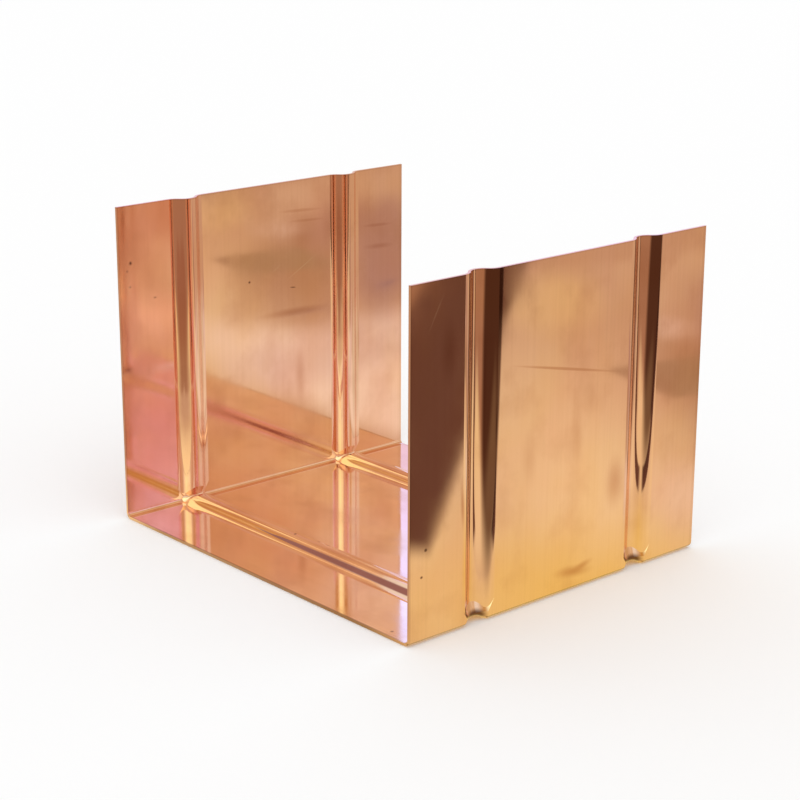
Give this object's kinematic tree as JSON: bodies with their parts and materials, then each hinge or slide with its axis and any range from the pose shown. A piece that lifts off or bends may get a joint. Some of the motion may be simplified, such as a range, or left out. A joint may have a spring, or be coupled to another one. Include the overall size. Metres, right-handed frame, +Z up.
{
  "type": "gutter union",
  "caption": "U-shaped folded copper channel that joins two lengths of box gutter, with raised beads running across its floor and up both walls.",
  "frame": {"origin": "on the ground plane under the middle of the floor, halfway along the channel", "axes": "+X across the gutter from wall to wall, +Y along the run of the gutter, +Z up out of the open top"},
  "size_m": [0.1012, 0.0864, 0.0751],
  "materials": {
    "copper_sheet": "bright rolled copper sheet with light handling marks"
  },
  "bodies": {
    "root": {"channel": "copper_sheet"}
  },
  "joints": []
}
